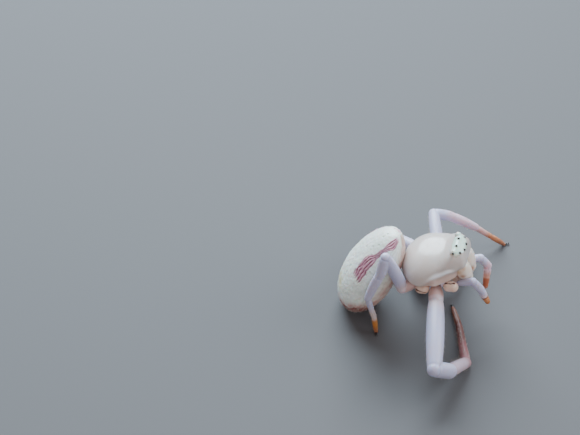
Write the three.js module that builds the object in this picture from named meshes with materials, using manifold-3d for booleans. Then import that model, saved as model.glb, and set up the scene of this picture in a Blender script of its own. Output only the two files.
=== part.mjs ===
// A female crab spider at life size, standing with the head end raised and the rear of
// the abdomen resting on the ground. Two of the right legs are healed stumps.
// Millimetres. Left is +X, back is +Y, up is +Z, and the ground is the plane Z = 0.
import * as THREE from 'three';
import { mergeVertices } from 'three/addons/utils/BufferGeometryUtils.js';
import Module from 'manifold-3d';

const wasm = await Module();
wasm.setup();

// Driving dimensions of the stance and the body
const GAP = 0.05;
const RIM_HEIGHT = 3.96;
const NOSE_UP = THREE.MathUtils.degToRad(7);
const CARAPACE = { rear: -1.96, front: 2.035, widest: -0.25, halfWidth: 1.9, lip: 0.12 };
const RIDGE = [[-1.96, 0], [-1.87, 0.42], [-1.59, 0.79], [-1.12, 1.12], [-0.5, 1.34], [0.1, 1.44],
  [0.6, 1.57], [1.0, 1.8], [1.34, 1.96], [1.6, 1.81], [1.76, 1.64], [1.88, 1.17], [2.035, 0.34]];
const ABDOMEN = { front: 3.52, rear: 2.87, halfWidth: 2.08, halfHeight: 1.43, brow: 0.24 };
const ABDOMEN_CENTRE = new THREE.Vector3(-0.35, 3.75, 2.61);
const ABDOMEN_PITCH = THREE.MathUtils.degToRad(62.4);
const ABDOMEN_YAW = THREE.MathUtils.degToRad(11.8);
const STERNUM = { rear: -1.42, front: 1.15, halfWidth: 0.93, top: -0.2, depth: 0.85 };

// Eyes on the head, as forward, left and up, with the lens radius
const EYES = {
  front_median: { at: [1.76, 0.22, 1.66], mound: 0 },
  front_lateral: { at: [1.59, 0.59, 1.77], mound: 0.15 },
  rear_median: { at: [1.34, 0.29, 1.99], mound: 0 },
  rear_lateral: { at: [1.24, 0.79, 1.88], mound: 0.15 },
};
const EYE_RADIUS = 0.07;
const SOCKET_RADIUS = 0.09;

// Segment lengths: femur, patella, tibia, metatarsus, tarsus
const FORELEG = [4.6, 1.3, 2.5, 2.7, 1.46];
const DRAWN_IN_FIRST_LEG = [3.97, 1.16, 2.27, 2.17, 1.3];
const DRAWN_IN_SECOND_LEG = [4.13, 1.3, 2.31, 2.28, 1.3];
const THIRD_LEG = [2.59, 1.02, 1.93, 1.23, 1.15];
const FOURTH_LEG = [2.8, 1.02, 1.95, 1.8, 1.31];
const DRAWN_IN_FOURTH_LEG = [2.26, 1.0, 1.72, 1.1, 0.95];

// Radii at the root, middle and end of the coxa and of each segment above
const FORELEG_GIRTH = [[0.26, 0.4, 0.42], [0.41, 0.515, 0.4], [0.42, 0.45, 0.44], [0.4, 0.37, 0.31],
  [0.29, 0.24, 0.2], [0.19, 0.17, 0.13]];
const DRAWN_IN_FORELEG_GIRTH = [[0.24, 0.34, 0.36], [0.36, 0.4, 0.37], [0.37, 0.37, 0.35],
  [0.35, 0.32, 0.25], [0.24, 0.2, 0.17], [0.16, 0.15, 0.12]];
const HINDLEG_GIRTH = [[0.24, 0.34, 0.34], [0.33, 0.35, 0.3], [0.3, 0.31, 0.29], [0.29, 0.27, 0.21],
  [0.19, 0.165, 0.155], [0.155, 0.155, 0.12]];

// Each leg: where its coxa leaves the sternum and where its femur starts, as forward, left and
// up on the head part, then yaw and pitch in degrees for each segment
const LEGS = {
  leg_right_2: { root: [0.16, -1.12, -0.62], base: [0.29, -1.86, -0.8], lengths: FORELEG,
    girth: FORELEG_GIRTH,
    turns: [[-78.1, -8.6], [46.5, -38.9], [73.3, -35.1], [110.5, -0.6], [116.1, -6.2]] },
  leg_right_4: { root: [-0.95, -0.95, -0.58], base: [-1.67, -1.64, -0.48], lengths: FOURTH_LEG,
    girth: HINDLEG_GIRTH,
    turns: [[-160.8, 69.2], [-112.9, -68.4], [-143.2, -66.6], [31.6, -77.0], [27.1, -83.8]],
    clawYaw: -75 },
  leg_left_1: { root: [0.82, 1.05, -0.55], base: [1.28, 1.52, -0.93], lengths: DRAWN_IN_FIRST_LEG,
    girth: DRAWN_IN_FORELEG_GIRTH,
    turns: [[176.2, -44.3], [-62.5, 21.2], [34.0, -3.0], [83.2, -12.8], [118.5, -4.8]] },
  leg_left_2: { root: [0.2, 1.12, -0.52], base: [0.34, 1.92, -0.62], lengths: DRAWN_IN_SECOND_LEG,
    girth: DRAWN_IN_FORELEG_GIRTH,
    turns: [[94.7, -44.1], [-87.8, 4.0], [-145.8, 5.0], [162.4, -9.1], [119.4, -13.8]] },
  leg_left_3: { root: [-0.48, 1.1, -0.62], base: [-0.4, 1.75, -0.72], lengths: THIRD_LEG,
    girth: HINDLEG_GIRTH,
    turns: [[108.2, 1.8], [25.8, -23.0], [19.7, -35.9], [16.0, -41.9], [25.1, -45.3]] },
  leg_left_4: { root: [-0.95, 0.95, -0.6], base: [-1.55, 1.6, -0.73], lengths: DRAWN_IN_FOURTH_LEG,
    girth: HINDLEG_GIRTH,
    turns: [[152.9, -14.1], [170.0, -30.1], [-162.5, -54.6], [-112.8, -20.2], [-18.4, -5.4]] },
};
// Each stump: where it leaves the sternum, the middle of its bulb, and how far the bulb spreads
const STUMPS = {
  leg_right_1: { root: [0.85, -0.98, -0.5], end: [1.08, -1.38, -0.25], radii: [0.24, 0.27, 0.29],
    spread: 0.14 },
  leg_right_3: { root: [-0.4, -1.1, -0.6], end: [-0.55, -1.5, -0.52], radii: [0.24, 0.3, 0.3],
    spread: 0.1 },
};

// Feelers beside the mouth: root, then the end of each length, on the head part
const PALPS = {
  right: [[1.48, -0.9, -0.38], [2.27, -1.0, -0.04], [2.65, -0.92, -0.72], [2.96, -0.9, -1.7]],
  left: [[1.44, 0.93, -0.4], [2.22, 1.14, -0.43], [2.59, 1.19, -1.04], [2.49, 0.6, -2.14]],
};
const PALP_RADII = [0.17, 0.23, 0.22, 0.15];
const CHELICERA = { top: [1.86, 0.385, -0.14], tip: [1.78, 0.35, -0.66], radii: [0.34, 0.35, 0.2] };

const FLESH = { color: '#e9ddd6', roughness: 0.35, metalness: 0 };
const SHELL = { color: '#e8dccb', roughness: 0.25, metalness: 0 };
const CREAM = { color: '#f3f3ea', roughness: 0.55, metalness: 0 };
const LEG = { color: '#e4dbe6', roughness: 0.35, metalness: 0 };
const FOOT = { color: '#c98a6a', roughness: 0.45, metalness: 0 };
const DARK = { color: '#140d0b', roughness: 0.2, metalness: 0 };

// A point on the head part from its distance forward, left and up
const onHead = ([forward, left, up]) => new THREE.Vector3(left, -forward, up);
const smoothstep = THREE.MathUtils.smoothstep;

// A closed skin of rings between two poles. place gives the point for a fraction of the way
// between the poles and a direction round the ring.
function skin(rings, sides, place) {
  const geometry = new THREE.SphereGeometry(1, sides, rings);
  const points = geometry.getAttribute('position');
  for (let i = 0; i < points.count; i++) {
    const ring = Math.floor(i / (sides + 1));
    const angle = (i % (sides + 1)) / sides * 2 * Math.PI;
    const point = place(ring / rings, -Math.cos(angle), Math.sin(angle), ring);
    points.setXYZ(i, point.x, point.y, point.z);
  }
  return geometry;
}

function toSolid(geometry) {
  geometry.deleteAttribute('normal');
  geometry.deleteAttribute('uv');
  const merged = mergeVertices(geometry, 1e-5);
  return new wasm.Manifold(new wasm.Mesh({
    numProp: 3,
    vertProperties: new Float32Array(merged.getAttribute('position').array),
    triVerts: new Uint32Array(merged.index.array),
  }));
}

function toGeometry(solid) {
  const pieces = solid.decompose();
  pieces.sort((a, b) => b.volume() - a.volume());
  const mesh = pieces[0].getMesh();
  const geometry = new THREE.BufferGeometry();
  geometry.setAttribute('position', new THREE.BufferAttribute(mesh.vertProperties, 3));
  geometry.setIndex(new THREE.BufferAttribute(mesh.triVerts, 1));
  geometry.computeVertexNormals();
  return geometry;
}

const ball = (radius, centre, sides = 12) =>
  toSolid(new THREE.SphereGeometry(radius, sides, Math.round(sides * 0.6)).translate(...centre));

// Keeps the side of the plane that its normal points to
const keepSide = (solid, normal, point) => solid.trimByPlane(normal.toArray(), normal.dot(point));

// The value of the quadratic that passes through three radii at 0, 1/2 and 1
function between([root, middle, end], f) {
  return root * (1 - f) * (1 - 2 * f) + 4 * middle * f * (1 - f) + end * f * (2 * f - 1);
}

// A straight length with round ends, centred on its two joints
function segment(start, end, radii, sides = 12, bodyRings = 4, capRings = 2) {
  const axis = end.clone().sub(start);
  const length = axis.length();
  axis.normalize();
  const side = new THREE.Vector3(0, 0, 1).cross(axis);
  side.lengthSq() < 1e-6 ? side.set(1, 0, 0) : side.normalize();
  const rise = axis.clone().cross(side);
  const last = capRings + bodyRings;
  return toSolid(skin(last + capRings, sides, (f, x, y, ring) => {
    let along = (ring - capRings) / bodyRings * length;
    let radius = between(radii, THREE.MathUtils.clamp(along / length, 0, 1));
    const cap = Math.max(capRings - ring, ring - last, 0) / capRings * Math.PI / 2;
    if (ring < capRings) along = -radii[0] * Math.sin(cap);
    if (ring > last) along = length + radii[2] * Math.sin(cap);
    radius *= Math.cos(cap);
    return start.clone().addScaledVector(axis, along)
      .addScaledVector(side, x * radius).addScaledVector(rise, y * radius);
  }));
}

// Head part: everything in it is modelled with the rim of the carapace at height 0
const head = new THREE.Group();
head.name = 'head_part';
head.position.z = RIM_HEIGHT;
head.rotation.x = -NOSE_UP;
head.updateMatrixWorld(true);
const body = new THREE.Group();
body.name = 'crab_spider';
body.add(head);

function add(parent, name, solid, finish) {
  const mesh = new THREE.Mesh(toGeometry(solid), new THREE.MeshStandardMaterial(finish));
  mesh.name = name;
  parent.add(mesh);
  return mesh;
}

// Carapace: outline from above, ridge line from the side, and a rim that rises to the face
const ridgeCurve = new THREE.CubicInterpolant(
  RIDGE.map((p) => p[0]), RIDGE.map((p) => p[1]), 1);
const ridge = (x) => ridgeCurve.evaluate(x)[0];
const rim = (x) => 0.42 * smoothstep(x, 0, 2.4);
const fullness = (x) => 2.3 + 1.5 * smoothstep(x, 0.3, 1.3);
function halfWidth(x) {
  const { rear, front, widest, halfWidth: w } = CARAPACE;
  if (x < widest) return w * Math.sqrt(Math.max(1 - ((widest - x) / (widest - rear)) ** 2.2, 0));
  const t = (x - widest) / (front - widest);
  return w * (1 - 0.46 * smoothstep(t, 0.12, 1)) * Math.sqrt(Math.max(1 - t ** 30, 0));
}
function shell(grow) {
  const { rear, front, lip } = CARAPACE;
  return toSolid(skin(24, 32, (f, side, rise) => {
    const x = rear + (front - rear) * (1 - Math.cos(f * Math.PI)) / 2;
    const q = Math.abs(side);
    const dome = (Math.max(ridge(x) - rim(x), 0) + grow) * Math.sqrt(Math.max(1 - q ** fullness(x), 0));
    const floor = (lip + grow) * Math.sqrt(Math.max(1 - q ** 8, 0)) * Math.min(halfWidth(x) / 0.4, 1);
    const ends = f === 0 || f === 1;
    const width = ends ? 0 : halfWidth(x) + grow;
    const up = ends ? 0 : rise >= 0 ? dome : -floor;
    return onHead([x + grow * Math.sign(f - 0.5) * Math.abs(2 * f - 1), side * width, rim(x) + up]);
  }));
}
let carapace = shell(0);
const eyes = [];
for (const [name, { at: [x, y, z], mound }] of Object.entries(EYES)) {
  for (const [sideName, sign] of [['left', 1], ['right', -1]]) {
    const centre = onHead([x, sign * y, z]);
    if (mound) {
      const seat = onHead([x - 0.05, sign * (y - 0.04), z - 0.1]);
      carapace = carapace.add(ball(mound, seat.toArray()));
    }
    eyes.push([`eye_${name}_${sideName}`, centre]);
  }
}
for (const [, centre] of eyes) carapace = carapace.subtract(ball(SOCKET_RADIUS, centre.toArray()));
add(head, 'carapace', carapace, SHELL);
for (const [name, centre] of eyes) {
  const eye = add(head, name, ball(EYE_RADIUS, [0, 0, 0], 10), DARK);
  eye.position.copy(centre);
}

// Sternum with the lip and the two mouth plates at its front
function sternumPoint(f, side, rise) {
  const { rear, front, halfWidth: w, top, depth } = STERNUM;
  const x = rear + (front - rear) * (1 - Math.cos(f * Math.PI)) / 2;
  const t = (2 * x - rear - front) / (front - rear);
  const round = Math.sqrt(Math.max(1 - t * t, 0));
  const drop = rise >= 0 ? 0 : depth * round * Math.sqrt(1 - side * side);
  return onHead([x, side * w * round, top - 0.1 * (1 - round) - drop]);
}
let sternum = toSolid(skin(12, 20, sternumPoint));
for (const sign of [1, -1]) {
  sternum = sternum.add(segment(onHead([0.95, sign * 0.3, -0.62]), onHead([1.42, sign * 0.24, -0.78]),
    [0.24, 0.26, 0.17], 10, 2));
}
sternum = sternum.add(segment(onHead([0.9, 0, -0.75]), onHead([1.25, 0, -0.85]), [0.2, 0.2, 0.15], 10, 2));
add(head, 'sternum', sternum, FLESH);

// Jaws under the face
for (const [name, sign] of [['left', 1], ['right', -1]]) {
  const [top, tip] = [CHELICERA.top, CHELICERA.tip].map(([x, y, z]) => onHead([x, sign * y, z]));
  add(head, `chelicera_${name}`, segment(top, tip, CHELICERA.radii), SHELL);
}

// Feelers: two lengths each, parted across the middle joint
for (const [name, joints] of Object.entries(PALPS)) {
  const [root, knee, wrist, tip] = joints.map(onHead);
  const [r0, r1, r2, r3] = PALP_RADII;
  const fold = wrist.clone().sub(knee).normalize().add(knee.clone().sub(root).normalize()).normalize();
  const near = keepSide(segment(root, knee, [r0, (r0 + r1) / 2, r1], 10, 3),
    fold.clone().negate(), knee.clone().addScaledVector(fold, -GAP / 2));
  const far = keepSide(segment(knee, wrist, [r1, r1, r2], 10, 2), fold,
    knee.clone().addScaledVector(fold, GAP / 2));
  add(head, `palp_${name}_root`, near, LEG);
  add(head, `palp_${name}_tip`, far.add(segment(wrist, tip, [r2, r2, r3], 10, 3)), FOOT);
}

// Abdomen: an egg along its own length, whose back juts forward over its front end
const onAbdomen = new THREE.Matrix4()
  .makeRotationFromEuler(new THREE.Euler(-ABDOMEN_PITCH, 0, ABDOMEN_YAW, 'ZYX'))
  .setPosition(ABDOMEN_CENTRE);
function egg(grow) {
  const { front, rear, halfWidth: w, halfHeight: h, brow } = ABDOMEN;
  return skin(24, 32, (f, side, rise) => {
    const t = -Math.cos(f * Math.PI);
    const round = Math.sqrt(Math.max(1 - Math.abs(t) ** (t < 0 ? 1.8 : 2), 0));
    const up = -rise * (h + grow) * round;
    return new THREE.Vector3(side * (w + grow) * round * (1 + 0.05 * t),
      t * ((t < 0 ? front : rear) + grow) + brow * up * Math.min(t, 0), up);
  }).applyMatrix4(onAbdomen);
}
const ground = new THREE.Vector3();
const groundUp = new THREE.Vector3(0, 0, 1);
const flat = (solid) => keepSide(solid, groundUp, ground);

// Stalk between the sternum and the abdomen, ending just short of the abdomen's skin
const stalk = segment(onHead([-1.78, 0, -0.46]), onHead([-3.0, -0.05, -0.2]), [0.26, 0.27, 0.3], 12, 2);
const eggOnHead = toSolid(egg(GAP).applyMatrix4(head.matrixWorld.clone().invert()));
add(head, 'pedicel', stalk.subtract(eggOnHead), FLESH);

// Spinnerets: three pairs of short cones round a low mound under the rear of the abdomen
const SPINNERET_STATION = 0.62;
function spinnerets() {
  const { rear, halfHeight: h } = ABDOMEN;
  const depth = h * Math.sqrt(1 - SPINNERET_STATION ** 2);
  const on = (x, y, z) => new THREE.Vector3(x, SPINNERET_STATION * rear + y, z - depth)
    .applyMatrix4(onAbdomen);
  let solid = segment(on(0, 0, -0.02), on(0, 0.02, -0.1), [0.26, 0.25, 0.22], 12, 1);
  for (const [x, y] of [[0.11, -0.12], [0.13, 0], [0.11, 0.13]]) {
    for (const sign of [1, -1]) {
      const [foot, tip] = [on(sign * x, y, -0.2), on(sign * x * 1.2, y * 1.3 + 0.06, -0.42)];
      solid = solid.add(segment(foot, tip, [0.08, 0.08, 0.05], 8, 1, 1));
    }
  }
  return solid.subtract(toSolid(egg(GAP)));
}
add(body, 'spinnerets', spinnerets(), FLESH);

// Legs
const heading = ([yaw, pitch]) => {
  const [y, p] = [yaw, pitch].map(THREE.MathUtils.degToRad);
  return new THREE.Vector3(Math.cos(p) * Math.sin(y), -Math.cos(p) * Math.cos(y), Math.sin(p));
};
const onGround = (place) => onHead(place).applyMatrix4(head.matrixWorld);

// The two claws at a foot, on a small ball that nearly touches the end of the tarsus
function claws(end, forward, footRadius) {
  const along = forward.clone().setZ(0).normalize();
  const across = groundUp.clone().cross(along);
  const palm = end.clone().addScaledVector(along, footRadius + 0.07).setZ(0.075);
  let solid = segment(palm, palm.clone().addScaledVector(along, 0.02), [0.05, 0.05, 0.045], 6, 1);
  for (const sign of [1, -1]) {
    const knuckle = palm.clone().addScaledVector(along, 0.07).addScaledVector(across, sign * 0.04)
      .setZ(0.1);
    const tip = palm.clone().addScaledVector(along, 0.15).addScaledVector(across, sign * 0.055)
      .setZ(0.03);
    solid = solid.add(segment(palm, knuckle, [0.04, 0.035, 0.03], 6, 1, 1))
      .add(segment(knuckle, tip, [0.03, 0.024, 0.012], 6, 1, 1));
  }
  return flat(solid);
}

const dents = [shell(GAP).transform(head.matrixWorld.elements)];
for (const [name, { root, base, lengths, girth, turns, clawYaw }] of Object.entries(LEGS)) {
  const joints = [onGround(root), onGround(base)];
  turns.forEach((turn, i) => {
    joints.push(joints.at(-1).clone().addScaledVector(heading(turn), lengths[i]));
  });
  const foot = joints.at(-1);
  foot.z = girth[5][2] - 0.03;
  const sides = girth === HINDLEG_GIRTH ? 10 : 12;
  const along = (i) => joints[i + 1].clone().sub(joints[i]).normalize();
  const part = (i) => {
    let solid = segment(joints[i], joints[i + 1], girth[i], sides);
    const startsNode = i === 1 || i === 2 || i === 4;
    const endsNode = i === 0 || i === 1 || i === 3;
    if (startsNode) {
      const fold = along(i - 1).add(along(i)).normalize();
      solid = keepSide(solid, fold, joints[i].clone().addScaledVector(fold, GAP / 2));
    }
    if (endsNode) {
      const fold = along(i).add(along(i + 1)).normalize();
      solid = keepSide(solid, fold.clone().negate(),
        joints[i + 1].clone().addScaledVector(fold, -GAP / 2));
    }
    return solid;
  };
  add(body, `${name}_coxa`, part(0), FLESH);
  add(body, `${name}_femur`, part(1), LEG);
  add(body, `${name}_tibia`, flat(part(2).add(part(3))), LEG);
  add(body, `${name}_tarsus`, flat(part(4).add(part(5))), FOOT);
  const reach = clawYaw === undefined ? along(5) : heading([clawYaw, 0]);
  add(body, `${name}_claws`, claws(foot, reach, girth[5][2]), DARK);
  for (const i of [1, 2, 3]) {
    dents.push(segment(joints[i], joints[i + 1], girth[i].map((r) => r + GAP), sides));
  }
}

// The soft abdomen gives way to whatever it leans on
const abdomen = dents.reduce((soft, dent) => soft.subtract(dent), flat(toSolid(egg(0))));
add(body, 'abdomen', abdomen, CREAM);
for (const [name, { root, end: [x, y, z], radii, spread }] of Object.entries(STUMPS)) {
  const [front, rear] = [x + spread, x - spread].map((forward) => onGround([forward, y, z]));
  const bulb = segment(rear, front, [radii[2], radii[2], radii[2]], 10, 1);
  add(body, `${name}_stump`, segment(onGround(root), onGround([x, y, z]), radii, 10, 3).add(bulb), FLESH);
}

// The origin is the middle of the outline on the ground
const model = new THREE.Group();
model.name = 'model';
model.add(body);
model.updateMatrixWorld(true);
const middle = new THREE.Box3().setFromObject(body, true).getCenter(new THREE.Vector3());
body.position.set(-middle.x, -middle.y, 0);

export default model;
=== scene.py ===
"""A female crab spider at life size, dressed over its solids: pale translucent skins, a wrinkled
abdomen with a rose band on each side, lenses, claws and fine bristles, on a plain grey floor.

Shapes are worked out in millimetres with left +X, back +Y and up +Z, then set in the row frame.
"""

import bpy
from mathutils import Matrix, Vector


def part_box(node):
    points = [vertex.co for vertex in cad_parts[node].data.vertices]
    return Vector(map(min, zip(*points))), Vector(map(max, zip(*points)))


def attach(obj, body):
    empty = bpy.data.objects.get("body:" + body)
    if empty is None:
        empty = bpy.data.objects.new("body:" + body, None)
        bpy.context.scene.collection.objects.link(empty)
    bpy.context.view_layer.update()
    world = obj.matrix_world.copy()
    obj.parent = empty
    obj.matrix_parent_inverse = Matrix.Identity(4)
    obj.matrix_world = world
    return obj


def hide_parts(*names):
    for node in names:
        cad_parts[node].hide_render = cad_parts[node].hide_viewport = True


bl_info = {
    "name": "Crab Spider",
    "version": (1, 0, 0),
    "blender": (4, 5, 0),
    "location": "View3D > Sidebar > Crab Spider",
    "description": "Builds the skins, eyes, claws and bristles of a female crab spider",
    "category": "Add Mesh",
}

import math
import random

import bmesh
import bpy
from mathutils import Matrix, Vector, noise

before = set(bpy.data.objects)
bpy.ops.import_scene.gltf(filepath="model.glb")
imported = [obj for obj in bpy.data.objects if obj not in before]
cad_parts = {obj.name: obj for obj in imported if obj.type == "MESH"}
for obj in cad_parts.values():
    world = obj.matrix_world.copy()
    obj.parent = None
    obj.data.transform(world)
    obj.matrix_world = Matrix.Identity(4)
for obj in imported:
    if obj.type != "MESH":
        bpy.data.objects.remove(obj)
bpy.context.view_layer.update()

MM = 0.001
RIM_HEIGHT = 3.96
NOSE_UP = math.radians(7)

# How far forward, left and up each pair of lenses sits on the head part
EYES = {
    "front_median": (1.76, 0.22, 1.66),
    "front_lateral": (1.59, 0.59, 1.77),
    "rear_median": (1.34, 0.29, 1.99),
    "rear_lateral": (1.24, 0.79, 1.88),
}
LENS_RADIUS = 0.067
SHELL_REAR, SHELL_WIDEST, SHELL_FRONT, SHELL_HALF_WIDTH = -1.96, -0.25, 2.035, 1.9
# Height of the carapace along its midline, from rear to front
RIDGE = ((-1.96, 0), (-1.87, 0.42), (-1.59, 0.79), (-1.12, 1.12), (-0.5, 1.34), (0.1, 1.44),
         (0.6, 1.57), (1.0, 1.8), (1.34, 1.96), (1.6, 1.81), (1.76, 1.64), (1.88, 1.17),
         (2.035, 0.34))
# Height of the bead that edges the carapace, from rear to front
BEAD = ((-1.96, -0.1), (-1.2, -0.1), (-0.8, 0.02), (-0.52, 0.19), (-0.22, 0.42), (0.16, 0.66),
        (0.6, 0.8), (0.95, 0.92), (1.25, 0.93), (1.5, 0.96), (1.8, 1.0), (2.035, 0.94))

# The abdomen's middle, its reach from there to its front, rear, side and back, and how much its
# back hangs over in front
ABDOMEN_CENTRE = Vector((-0.35, 3.75, 2.61))
ABDOMEN_FRONT, ABDOMEN_REAR, ABDOMEN_WIDE, ABDOMEN_HIGH, BROW = 3.52, 2.87, 2.08, 1.43, 0.24
ABDOMEN_TURN = (Matrix.Rotation(math.radians(11.8), 3, "Z")
                @ Matrix.Rotation(math.radians(-62.4), 3, "X"))
# Middle and half width of the rose band, in degrees from the back's midline, by station
BAND_MIDDLE = ((-1.0, 66), (-0.95, 58), (-0.88, 57), (-0.84, 50), (-0.79, 46.5), (-0.69, 42),
               (-0.6, 40.5), (-0.5, 36.5), (-0.3, 36.5), (-0.1, 40))
BAND_HALF = ((-1.0, 24), (-0.95, 24), (-0.88, 22), (-0.84, 14), (-0.79, 8.5), (-0.69, 7),
             (-0.6, 8), (-0.5, 11.5), (-0.4, 13), (-0.19, 12.5), (-0.1, 11))
# How much lower the left side's band lies, in degrees
LEFT_BAND_DROP = 24
# Dimples on the back: station, then degrees from the midline, positive to the right
PITS = ((-0.36, -15), (-0.48, 1), (-0.61, 13), (-0.72, 20), (-0.55, -24), (-0.81, 2),
        (-0.88, -5), (0.0, -4), (0.07, -2), (-0.14, -3), (0.51, 22), (-0.3, 52), (-0.39, 54))
# Where the reddish underside begins, in degrees from the back's midline, by station
RED_EDGE = ((-1.0, 150), (-0.6, 138), (-0.31, 123), (-0.2, 123), (0.02, 118), (0.1, 112),
            (0.2, 101), (0.3, 94), (0.38, 86), (0.47, 78), (0.58, 71), (0.66, 58), (0.78, 30),
            (0.88, 0))
SPINNERET_STATION = 0.62

# Girths of a leg's six lengths, each as the radius at its root, its middle and its end
FORE = ((0.26, 0.4, 0.42), (0.41, 0.515, 0.4), (0.42, 0.45, 0.44), (0.38, 0.36, 0.31),
        (0.29, 0.24, 0.2), (0.19, 0.17, 0.13))
FORE_DRAWN_IN = ((0.24, 0.34, 0.36), (0.36, 0.4, 0.37), (0.37, 0.37, 0.35), (0.34, 0.32, 0.25),
                 (0.24, 0.2, 0.17), (0.16, 0.15, 0.12))
HIND = ((0.24, 0.34, 0.34), (0.33, 0.35, 0.3), (0.3, 0.31, 0.29), (0.28, 0.27, 0.21),
        (0.19, 0.165, 0.155), (0.155, 0.155, 0.12))
# Each leg: where its coxa starts and ends on the head part, lengths and girths of its segments,
# and yaw and pitch of each segment past the coxa
LEGS = {
    "leg_right_2": ((0.16, -1.12, -0.62), (0.29, -1.86, -0.8), (4.6, 1.3, 2.5, 2.7, 1.46), FORE,
                    ((-78.1, -8.6), (46.5, -38.9), (73.3, -35.1), (110.5, -0.6), (116.1, -6.2))),
    "leg_right_4": ((-0.95, -0.95, -0.58), (-1.67, -1.64, -0.48), (2.8, 1.02, 1.95, 1.8, 1.31), HIND,
                    ((-160.8, 69.2), (-112.9, -68.4), (-143.2, -66.6), (31.6, -77.0), (27.1, -83.8))),
    "leg_left_1": ((0.82, 1.05, -0.55), (1.28, 1.52, -0.93), (3.97, 1.16, 2.27, 2.17, 1.3),
                   FORE_DRAWN_IN,
                   ((176.2, -44.3), (-62.5, 21.2), (34.0, -3.0), (83.2, -12.8), (118.5, -4.8))),
    "leg_left_2": ((0.2, 1.12, -0.52), (0.34, 1.92, -0.62), (4.13, 1.3, 2.31, 2.28, 1.3),
                   FORE_DRAWN_IN,
                   ((94.7, -44.1), (-87.8, 4.0), (-145.8, 5.0), (162.4, -9.1), (119.4, -13.8))),
    "leg_left_3": ((-0.48, 1.1, -0.62), (-0.4, 1.75, -0.72), (2.59, 1.02, 1.93, 1.23, 1.15), HIND,
                   ((108.2, 1.8), (25.8, -23.0), (19.7, -35.9), (16.0, -41.9), (25.1, -45.3))),
    "leg_left_4": ((-0.95, 0.95, -0.6), (-1.55, 1.6, -0.73), (2.26, 1.0, 1.72, 1.1, 0.95), HIND,
                   ((152.9, -14.1), (170.0, -30.1), (-162.5, -54.6), (-112.8, -20.2), (-18.4, -5.4))),
}
CLAW_YAW = {"leg_right_4": -75}
# Rings round each leg: where, in segments from its root, how deep, and how wide
CREASES = ((1.06, 0.03, 0.012), (2.04, 0.035, 0.03), (3.03, 0.03, 0.018), (4.04, 0.025, 0.02),
           (5.02, 0.02, 0.03))
# Each stump: where it leaves the sternum, the middle of its bulb, its girth, how far the bulb
# spreads, which point of its scar is the widest, and those points
STUMPS = {
    "leg_right_1_stump": ((0.85, -0.98, -0.5), (1.08, -1.38, -0.25), (0.24, 0.27, 0.29), 0.14, 4,
                          (0.76, -1.36, -0.02), (0.87, -1.43, 0.03), (0.98, -1.41, 0.04),
                          (1.12, -1.41, 0.04), (1.27, -1.33, 0.03)),
    "leg_right_3_stump": ((-0.4, -1.1, -0.6), (-0.55, -1.5, -0.52), (0.24, 0.3, 0.3), 0.1, 1,
                          (-0.93, -1.63, -0.48), (-0.82, -1.73, -0.44), (-0.7, -1.78, -0.44),
                          (-0.52, -1.79, -0.48), (-0.33, -1.76, -0.56)),
}
# Joints of each feeler from root to tip, how far forward, left and up, and the radius at each
PALPS = {
    "right": ((1.48, -0.9, -0.38), (2.27, -1.0, -0.04), (2.65, -0.92, -0.72), (2.96, -0.9, -1.7)),
    "left": ((1.44, 0.93, -0.4), (2.22, 1.14, -0.43), (2.59, 1.19, -1.04), (2.49, 0.6, -2.14)),
}
PALP_RADII = (0.17, 0.23, 0.22, 0.15)
STERNUM_MIDDLE, STERNUM_HALF_LENGTH, STERNUM_HALF_WIDTH = -0.135, 1.285, 0.93

ABDOMEN_BRISTLES, HEAD_BRISTLES = 1500, 260
# Side of the patch of the coat's map that each bristle takes
PATCH = 0.003

# The camera's right, up and back, its place and its focal length, solved from the photograph
CAMERA_AXES = ((0.2531, -0.96744, -0.00275), (0.72188, 0.18697, 0.66629),
               (-0.64408, -0.17062, 0.74569))
CAMERA_PLACE = (-103.27612, -18.8534, 125.00955)
CAMERA_LENS = 177.34
# Each light: its direction from the spider, its distance and size in metres, watts and colour
LIGHTS = (("Key light", (0.7, 0.34, 0.62), 0.12, 0.12, 0.5, (0.74, 0.89, 1.0)),
          ("Front light", (0.3, -0.8, 0.6), 0.14, 0.12, 0.16, (0.82, 0.91, 1.0)),
          ("Fill light", (-0.8, -0.3, 0.6), 0.16, 0.14, 0.075, (1.0, 0.94, 0.93)))


def raised(forward, left, up):
    """A place on the head part, in millimetres, from its distance forward, left and up."""
    cos, sin = math.cos(NOSE_UP), math.sin(NOSE_UP)
    return Vector((left, up * sin - forward * cos, forward * sin + up * cos + RIM_HEIGHT))


def on_head_part(p):
    """The distance forward, left and up of a place on the head part."""
    cos, sin = math.cos(NOSE_UP), math.sin(NOSE_UP)
    height = p.z - RIM_HEIGHT
    return height * sin - p.y * cos, p.x, height * cos + p.y * sin


def middle(node):
    """The middle of a node's box, in the row frame."""
    low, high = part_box(node)
    return (Vector(low) + Vector(high)) / 2


def shift():
    """From the spider's own millimetres, whose X = 0 is its head's midline, to the row frame."""
    rear = (middle("eye_rear_median_left") + middle("eye_rear_median_right")) / 2
    known = raised(EYES["rear_median"][0], 0, EYES["rear_median"][2])
    return Vector((rear.x - known.x * MM, rear.y - known.y * MM, 0))


SHIFT = shift()
TO_ROW = Matrix.Translation(SHIFT) @ Matrix.Scale(MM, 4)


def smoothstep(x, low, high):
    t = min(max((x - low) / (high - low), 0), 1)
    return t * t * (3 - 2 * t)


def hump(x, centre, width):
    return math.exp(-((x - centre) / width) ** 2)


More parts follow.
